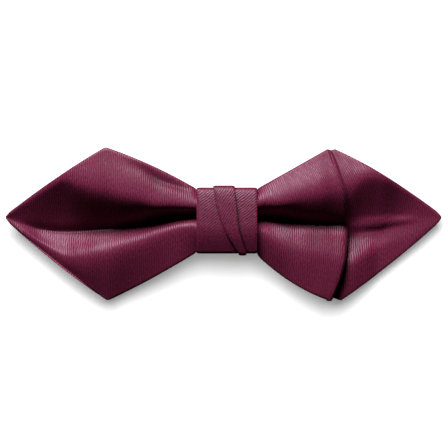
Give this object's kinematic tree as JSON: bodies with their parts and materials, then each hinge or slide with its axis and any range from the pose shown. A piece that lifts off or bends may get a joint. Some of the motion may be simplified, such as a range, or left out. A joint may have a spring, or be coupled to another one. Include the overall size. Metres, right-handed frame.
{
  "type": "clip-on bow tie",
  "caption": "Pre-tied satin bow tie with one pointed wing and one looped wing, a wrapped knot and a sprung metal clip behind it.",
  "frame": {"origin": "centre of the bottom of the bounding box: the plane that the tie lies on, under the middle of the bow", "axes": "+X along the bow's length towards the looped wing, +Y up as worn, +Z from the clip to the front of the bow"},
  "size_m": [0.1199, 0.0423, 0.019],
  "materials": {
    "satin_face": "burgundy satin twill",
    "satin_back": "burgundy satin twill",
    "interlining": "unbleached brushed cotton",
    "thread": "burgundy sewing thread",
    "clip_steel": "bright nickel plate on pressed steel",
    "spring_steel": "drawn spring wire"
  },
  "bodies": {
    "bow": {"front_span_face_ply": "satin_face", "front_span_interlining": "interlining", "front_span_back_ply": "satin_back", "middle_span_back_ply": "satin_back", "middle_span_interlining": "interlining", "middle_span_face_ply": "satin_face", "rear_span_face_ply": "satin_face", "rear_span_interlining": "interlining", "rear_span_back_ply": "satin_back", "knot_left_turn": "satin_face", "knot_middle_turn": "satin_face", "knot_right_turn": "satin_face", "waist_binding_thread": "thread", "knot_closing_thread": "thread", "clip_base_plate": "clip_steel", "clip_hinge_pin": "clip_steel", "clip_torsion_spring": "spring_steel", "clip_left_tack": "thread", "clip_right_tack": "thread"},
    "jaw": {"clip_jaw": "clip_steel"}
  },
  "joints": [
    {"name": "clip_jaw_hinge", "type": "hinge", "parent": "bow", "child": "jaw", "pos_m": [0.0008, 0.0007, 0.0027], "axis": [1, 0, 0], "range_deg": [0, 22], "stiffness_Nm_per_rad": 0.03, "springref_deg": -45.84, "deforming": ["clip_torsion_spring"]}
  ]
}
